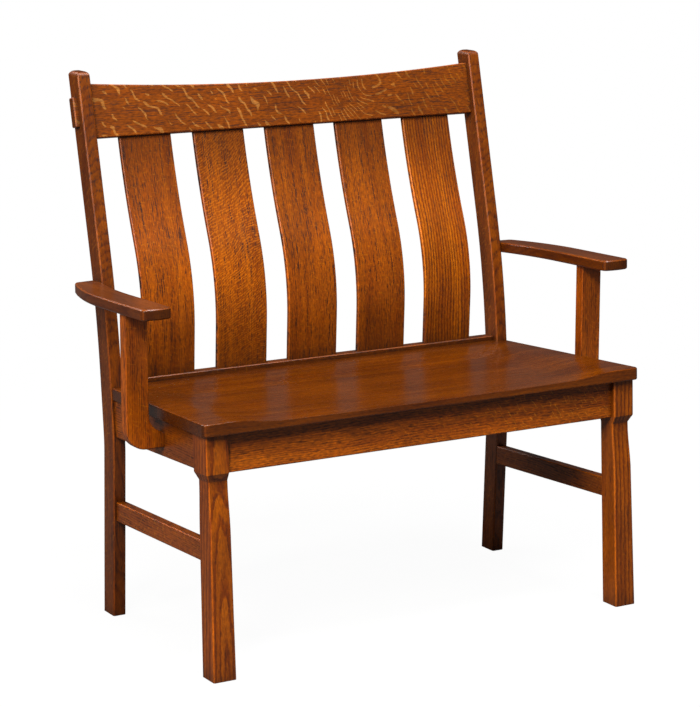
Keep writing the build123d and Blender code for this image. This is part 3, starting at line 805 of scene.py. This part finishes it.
    def _lacquer(self, tree: Tree, colour: Socket, pores: Socket) -> None:
        """Lay the lacquer over the coloured wood, sunk a little over the pores.

        Args:
            tree: The material's tree.
            colour: Colour of the wood.
            pores: Pores, from 0 to 1.
        """
        height = add_node(tree, "Math", {0: pores, 1: -1.0}, operation="MULTIPLY")
        eased = add_node(tree, "Bevel", {"Radius": self.arris * MM}, samples=4)
        sunk = add_node(
            tree,
            "Bump",
            {"Strength": 1.0, "Distance": self.sunk * MM, "Height": height, "Normal": eased},
        )
        rough = add_node(
            tree, "Math", {0: pores, 1: self.pore_gloss, 2: self.gloss}, operation="MULTIPLY_ADD"
        )
        shader = add_node(
            tree,
            "BsdfPrincipled",
            {"Base Color": colour, "Roughness": rough, "Normal": sunk, "IOR": self.ior},
        )
        add_node(tree, "OutputMaterial", {0: shader})


@dataclass(frozen=True)
class ZincPlatedSteel:
    """Zinc-plated steel: a pale grey metal, clouded by the plating bath so that its shine varies.

    Attributes:
        colour: Colour of the zinc.
        smooth: Roughness where the plating is brightest.
        dull: Roughness where it is dullest.
        cloud: Size of the dull clouds, in mm.
    """

    colour: str = "#B9B8B2"
    smooth: float = 0.28
    dull: float = 0.44
    cloud: float = 4.0

    def material(self) -> bpy.types.Material:
        """Make the plated steel.

        Returns:
            The finished material.
        """
        mat = bpy.data.materials.new("zinc_plated_steel")
        mat.use_nodes = True
        tree = mat.node_tree
        tree.nodes.clear()
        place = add_node(tree, "TexCoord", output="Object")
        cloud = add_node(tree, "TexNoise", {"Vector": place, "Scale": 1 / (self.cloud * MM)})
        rough = add_node(
            tree,
            "MapRange",
            {
                "Value": cloud,
                "From Min": NOISE_LOW,
                "From Max": NOISE_HIGH,
                "To Min": self.smooth,
                "To Max": self.dull,
            },
        )
        shader = add_node(
            tree,
            "BsdfPrincipled",
            {"Base Color": linear(self.colour), "Metallic": 1.0, "Roughness": rough},
        )
        add_node(tree, "OutputMaterial", {0: shader})
        return mat


@dataclass(frozen=True)
class MattPaper:
    """White background paper, uncoated, so it has no shine and keeps only a soft shadow.

    Attributes:
        seen: Colour that the camera sees.
        bounced: Colour that it throws back on the bench. White would veil the lacquer.
        glow: Share that glows under the bench, which leaves the rest for its shadow.
        near: Distance from the middle at which the glow starts to rise, in metres.
        far: Distance at which it is whole, so that the floor ends as white as the room.
    """

    seen: str = WHITE
    bounced: str = "#606060"
    glow: float = 0.96
    near: float = 0.8
    far: float = 2.2

    def material(self) -> bpy.types.Material:
        """Make the paper.

        Returns:
            The finished material.
        """
        mat = bpy.data.materials.new("matt_white_paper")
        mat.use_nodes = True
        tree = mat.node_tree
        tree.nodes.clear()
        place = add_node(tree, "TexCoord", output="Object")
        away = add_node(tree, "VectorMath", {0: place}, "Value", operation="LENGTH")
        rising = add_node(
            tree,
            "MapRange",
            {"Value": away, "From Min": self.near, "From Max": self.far, "To Min": self.glow},
        )
        camera_ray = add_node(tree, "LightPath", output="Is Camera Ray")
        share = add_node(tree, "Math", {0: rising, 1: camera_ray}, operation="MULTIPLY")
        colour = add_node(
            tree,
            "Mix",
            {0: camera_ray, MIX_FIRST: linear(self.bounced), MIX_SECOND: linear(self.seen)},
            MIX_RESULT,
            data_type="RGBA",
        )
        paper = add_node(tree, "BsdfDiffuse", {"Color": colour})
        glow = add_node(tree, "Emission", {"Color": linear(self.seen), "Strength": 1.0})
        mixed = add_node(tree, "MixShader", {0: share, 1: paper, 2: glow})
        add_node(tree, "OutputMaterial", {0: mixed})
        return mat


class SubAssembly:
    """Boards of the bench that belong together."""

    def boards(self) -> list[StainedOak]:
        """The boards, each named for the piece that it makes."""
        raise NotImplementedError

    def dress(self) -> None:
        """Give each piece its board."""
        for board in self.boards():
            low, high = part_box(board.name)
            finish = board.material((low + high) / 2)
            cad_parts[board.name].material_slots[0].material = finish
            LOG.info("%s is dressed in oak, lying as %s", board.name, board.lie.name.lower())


@dataclass
class Back(SubAssembly):
    """The raked back: two posts, the crest rail, the low rail and five bent slats.

    Attributes:
        rake: Lean of the crest rail, in degrees.
        crest_tone: Tone of the crest rail.
        low_rail_tone: Tone of the low rail.
        post_tones: Tones of the left and the right post.
    """

    rake: float = 13.5
    crest_tone: float = 0.6
    low_rail_tone: float = 0.38
    post_tones: tuple[float, float] = (0.5, 0.58)

    def boards(self) -> list[StainedOak]:
        """The boards of the whole back."""
        low_rail = StainedOak("lower_back_rail", Lie.RAIL, tone=self.low_rail_tone, seed=2.1)
        return [self.crest(), low_rail, *self.slats(), *self.posts()]

    def crest(self) -> StainedOak:
        """Choose the showiest board of the bench for the crest rail.

        Returns:
            The board.
        """
        fleck = Fleck(
            spacing=16.0,
            slant=58.0,
            drift=11.0,
            reach=80.0,
            width=5.0,
            length=27.0,
            plenty=0.75,
            strength=0.66,
            crowding=0.5,
            fade=0.6,
            whirl=7.0,
            whirl_place=(16.0, 165.0),
            whirl_reach=62.0,
        )
        return StainedOak(
            "crest_rail",
            Lie.RAIL,
            Cut(ring_strength=0.1),
            fleck,
            Pores(strength=0.7),
            tone=self.crest_tone,
            seed=1.3,
            rake=self.rake,
            bands=0.3,
            speckle=0.4,
            ray="#D8975C",
        )

    def slats(self) -> list[StainedOak]:
        """Choose the boards of the slats.

        Returns:
            Five boards, from left to right.
        """
        quiet = Cut(ring_spacing=3.6, ring_strength=0.15)
        combed = Cut(ring_spacing=6.2, ring_strength=1.0, wander=1.0)
        faint = Fleck(spacing=7.0, slant=75.0, drift=14.0, width=2.0, length=9.0, strength=0.2)
        dense = Fleck(
            spacing=4.6,
            slant=-62.0,
            drift=20.0,
            reach=110.0,
            width=2.6,
            length=10.0,
            plenty=1.0,
            strength=0.5,
        )
        plain = StainedOak(
            "slat",
            Lie.UPRIGHT,
            quiet,
            faint,
            Pores(strength=0.95),
            bent=True,
            speckle=0.36,
            # Painted shade darkens the slats towards both ends.
            painted_end_shade=0.52,
        )
        return [
            replace(plain, name="slat_1", seed=3.7, tone=0.98),
            replace(plain, name="slat_2", seed=4.4, tone=0.9, fleck=dense, ray="#D07A3A"),
            replace(plain, name="slat_3", seed=5.1, tone=0.93),
            replace(plain, name="slat_4", seed=5.8, tone=0.9),
            replace(
                plain,
                name="slat_5",
                seed=6.5,
                tone=1.05,
                cut=combed,
                fleck=replace(faint, strength=0.1),
                pores=Pores(strength=0.7),
                summer="#C06E30",
            ),
        ]

    def posts(self) -> list[StainedOak]:
        """Choose the boards of the posts.

        Returns:
            The left and the right one.
        """
        fleck = Fleck(slant=50.0, width=2.2, length=12.0, strength=0.4)
        return [
            StainedOak(f"back_post_{side}", Lie.CHEEK, fleck=fleck, tone=tone, seed=seed)
            for side, seed, tone in zip(("left", "right"), (0.4, 0.9), self.post_tones)
        ]


@dataclass
class SeatFrame(SubAssembly):
    """Legs, aprons and stretchers under the seat, with the blocks and screws inside.

    Attributes:
        front_tone: Tone of the front apron.
        back_tone: Tone of the back apron.
        side_tone: Tone of the side aprons, set darker partly as painted shade on their side faces.
        stretcher_tone: Tone of the stretchers, set darker partly as painted shade on their side
            faces.
        leg_tone: Tone of the front legs.
        block_tone: Tone of the corner blocks.
        block_gloss: Roughness of the corner blocks, which have a thin coat only.
    """

    front_tone: float = 1.14
    back_tone: float = 0.85
    side_tone: float = 0.7
    stretcher_tone: float = 0.8
    leg_tone: float = 0.87
    block_tone: float = 1.1
    block_gloss: float = 0.55

    def boards(self) -> list[StainedOak]:
        """Choose the boards of the frame.

        Returns:
            The aprons' boards and those of each side.
        """
        arched = Cut(
            pith_across=-4.0,
            pith_through=39.4,
            ring_spacing=9.0,
            ring_strength=0.9,
            taper=0.015,
            wander=0.3,
        )
        striped = Cut(ring_spacing=9.0, ring_strength=1.2, wander=0.5)
        return [*self.aprons(), *self.side("left", 6.1, arched), *self.side("right", 7.3, striped)]

    def aprons(self) -> list[StainedOak]:
        """Choose the boards that run along the bench.

        Returns:
            The front and the back apron.
        """
        fleck = Fleck(
            spacing=9.0,
            slant=55.0,
            width=2.0,
            length=14.0,
            plenty=0.6,
            crowding=0.2,
            fade=0.85,
            fade_from=250.0,
            fade_to=-100.0,
        )
        front = StainedOak(
            "front_apron", Lie.RAIL, fleck=fleck, tone=self.front_tone, seed=5.2, speckle=0.45
        )
        back = StainedOak("back_apron", Lie.RAIL, fleck=fleck, tone=self.back_tone, seed=5.9)
        return [front, back]

    def side(self, side: str, seed: float, cut: Cut) -> list[StainedOak]:
        """Choose the boards of one side.

        Args:
            side: Which side, "left" or "right".
            seed: Where in the log its boards start.
            cut: How the leg was sawn.

        Returns:
            Its apron, stretcher, leg and two corner blocks.
        """
        # The side boards' darker tone is partly painted shade on their side faces.
        apron = StainedOak(f"side_apron_{side}", Lie.SIDE_RAIL, tone=self.side_tone, seed=seed)
        stretcher = replace(
            apron, name=f"side_stretcher_{side}", tone=self.stretcher_tone, seed=seed + 0.5
        )
        leg = StainedOak(
            f"front_leg_{side}",
            Lie.UPRIGHT,
            cut,
            Fleck(strength=0.1),
            Pores(strength=0.5),
            tone=self.leg_tone,
            seed=seed + 1.1,
        )
        blocks = [
            StainedOak(
                f"{end}_corner_block_{side}",
                Lie.SHELF,
                tone=self.block_tone,
                seed=seed + 1.7,
                arris_wear_and_highlight=0.0,
                gloss=self.block_gloss,
            )
            for end in ("front", "back")
        ]
        return [apron, stretcher, leg, *blocks]

    def dress(self) -> None:
        """Give each board its oak and the screws their steel."""
        super().dress()
        steel = ZincPlatedSteel().material()
        for screws in ("seat_screws", "arm_post_screws"):
            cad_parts[screws].material_slots[0].material = steel
            LOG.info("%s is dressed in plated steel", screws)


@dataclass
class Seat(SubAssembly):
    """The scooped seat board, with the softest figure and the glossiest finish.

    Attributes:
        tone: Tone of the seat.
        gloss: Roughness of its lacquer.
    """

    tone: float = 0.37
    gloss: float = 0.24

    def boards(self) -> list[StainedOak]:
        """Choose the seat's board.

        Returns:
            That one board.
        """
        cut = Cut(pith_across=260.0, pith_through=150.0, ring_spacing=7.0, ring_strength=0.2)
        seat = StainedOak(
            "seat",
            Lie.SHELF,
            cut,
            Fleck(strength=0.1),
            Pores(strength=0.25),
            tone=self.tone,
            seed=8.8,
            gloss=self.gloss,
        )
        return [seat]


@dataclass
class Arms(SubAssembly):
    """The two arms, the posts that carry them and their dowels.

    Attributes:
        tone: Tone of the arms.
        gloss: Roughness of their lacquer.
        post_tone: Tone of the arm posts.
        post_arris_wear_and_highlight: How much paler the arrises of the arm posts are, with worn
            stain and a painted highlight.
        dowel_tone: Tone of the dowels.
        dowel_gloss: Roughness of the dowels, which get hardly any lacquer.
    """

    tone: float = 0.4
    gloss: float = 0.28
    post_tone: float = 1.25
    post_arris_wear_and_highlight: float = 0.2
    dowel_tone: float = 1.4
    dowel_gloss: float = 0.6

    def boards(self) -> list[StainedOak]:
        """Choose the boards of both sides, and the dowels.

        Returns:
            The dowels, and each side's arm and post.
        """
        boards = [
            StainedOak(
                "arm_dowels",
                Lie.SHELF,
                fleck=Fleck(strength=0.0),
                tone=self.dowel_tone,
                seed=12.9,
                gloss=self.dowel_gloss,
            )
        ]
        for side, seed in (("left", 10.2), ("right", 11.6)):
            arm = StainedOak(
                f"arm_{side}",
                Lie.ARM,
                fleck=Fleck(strength=0.1),
                pores=Pores(strength=0.3),
                tone=self.tone,
                seed=seed,
                gloss=self.gloss,
            )
            post = StainedOak(
                f"arm_post_{side}",
                Lie.UPRIGHT,
                fleck=Fleck(strength=0.2),
                tone=self.post_tone,
                seed=seed + 0.6,
                arris_wear_and_highlight=self.post_arris_wear_and_highlight,
            )
            boards += [arm, post]
        return boards


@dataclass(frozen=True)
class SoftBox:
    """A lamp behind a diffusing cloth.

    Attributes:
        name: The lamp's name.
        place: Where it hangs, in metres.
        target: The point that it faces.
        size: Its width and height, in metres.
        watts: Its power.
        colour: Colour of its light.
    """

    name: str
    place: Triple
    target: Triple
    size: tuple[float, float]
    watts: float
    colour: str = WHITE

    def hang(self) -> None:
        """Hang the lamp in the scene."""
        data = bpy.data.lights.new(self.name, "AREA")
        data.shape = "RECTANGLE"
        data.size, data.size_y = self.size
        data.energy = self.watts
        data.color = linear(self.colour)[:3]
        lamp = bpy.data.objects.new(self.name, data)
        lamp.location = self.place
        aim = Vector(self.target) - Vector(self.place)
        lamp.rotation_euler = aim.to_track_quat("-Z", "Y").to_euler()
        bpy.context.scene.collection.objects.link(lamp)


@dataclass
class Studio:
    """White paper floor, soft lamps and the camera.

    Attributes:
        eye: The camera's place, in metres.
        heading: Angle that it looks to the right of straight back, in degrees.
        downward: Angle that it looks down, in degrees.
        focal_pixels: Its focal length in pixels of the photograph's frame.
        frame_height: Height of that frame, its longer side, in pixels.
        sensor: Its sensor's longer side, in mm.
        sight: How far it sees, in metres.
        floor_span: Side of the floor, in metres.
        floor_drop: How far it lies below the feet, so that the two don't fight, in mm.
        wall_light: Brightness of the room as the object's surfaces see it.
        wall_gloss: Brightness of the room as the gloss mirrors it.
        lamps: The lamps, as the photograph's shadows and highlights place them.
    """

    eye: Triple = (-2.3479, -3.9816, 1.4579)
    heading: float = 30.45
    downward: float = 11.92
    focal_pixels: float = 2520.0
    frame_height: int = 707
    sensor: float = 36.0
    sight: float = 100.0
    floor_span: float = 40.0
    floor_drop: float = 0.3
    wall_light: float = 0.06
    wall_gloss: float = 0.08
    lamps: tuple[SoftBox, ...] = (
        SoftBox("key", (-3.0, -2.8, 3.9), (0.0, 0.0, 0.55), (1.1, 1.3), 180.0, "#FFFAF2"),
        SoftBox("back", (-2.2, 3.4, 3.6), (0.0, 0.0, 0.6), (1.6, 1.6), 75.0),
        SoftBox("top", (0.3, -2.4, 6.8), (0.0, 0.1, 0.7), (3.6, 1.6), 500.0),
        SoftBox("fill", (-3.8, -1.0, 2.6), (0.0, 0.0, 0.5), (0.5, 1.4), 60.0, "#FFF2E6"),
    )

    def camera(self) -> None:
        """Stand the camera where the photograph was taken from."""
        data = bpy.data.cameras.new("camera")
        data.sensor_width = self.sensor
        data.lens = self.focal_pixels * self.sensor / self.frame_height
        data.clip_end = self.sight
        camera = bpy.data.objects.new("camera", data)
        camera.location = self.eye
        turn = (math.radians(90 - self.downward), 0.0, math.radians(-self.heading))
        camera.rotation_euler = Euler(turn)
        bpy.context.scene.collection.objects.link(camera)
        bpy.context.scene.camera = camera

    def floor(self) -> None:
        """Lay a plain floor that shows white to the camera and keeps the bench's shadow."""
        shape = bmesh.new()
        below = Matrix.Translation((0.0, 0.0, -self.floor_drop * MM))
        bmesh.ops.create_grid(
            shape, x_segments=1, y_segments=1, size=self.floor_span / 2, matrix=below
        )
        mesh = bpy.data.meshes.new("floor")
        shape.to_mesh(mesh)
        shape.free()
        mesh.materials.append(MattPaper().material())
        floor = bpy.data.objects.new("floor", mesh)
        bpy.context.scene.collection.objects.link(floor)

    def world(self) -> None:
        """White to the camera, and a dimmer plain room to the surfaces and their gloss."""
        world = bpy.data.worlds.new("studio")
        world.use_nodes = True
        bpy.context.scene.world = world
        tree = world.node_tree
        tree.nodes.clear()
        glossy, passing, seen = (
            add_node(tree, "LightPath", output=f"Is {ray} Ray")
            for ray in ("Glossy", "Transmission", "Camera")
        )
        mirrored = add_node(tree, "Math", {0: glossy, 1: passing}, operation="MAXIMUM")
        room = add_node(
            tree,
            "MapRange",
            {"Value": mirrored, "To Min": self.wall_light, "To Max": self.wall_gloss},
        )
        strength = add_node(tree, "Math", {0: room, 1: seen}, operation="MAXIMUM")
        light = add_node(tree, "Background", {"Color": linear(WHITE), "Strength": strength})
        add_node(tree, "OutputWorld", {0: light})

    def build(self) -> None:
        """Set up the whole studio."""
        self.camera()
        self.floor()
        self.world()
        for lamp in self.lamps:
            lamp.hang()


def main() -> None:
    """Build the studio, dress the bench and report each piece."""
    logging.basicConfig(level=logging.INFO, format="%(name)s: %(message)s")
    bpy.context.scene.view_settings.view_transform = "Standard"
    Studio().build()
    for part in (Back(), SeatFrame(), Seat(), Arms()):
        part.dress()
        LOG.info("%s is finished", type(part).__name__)


if __name__ == "__main__":
    main()
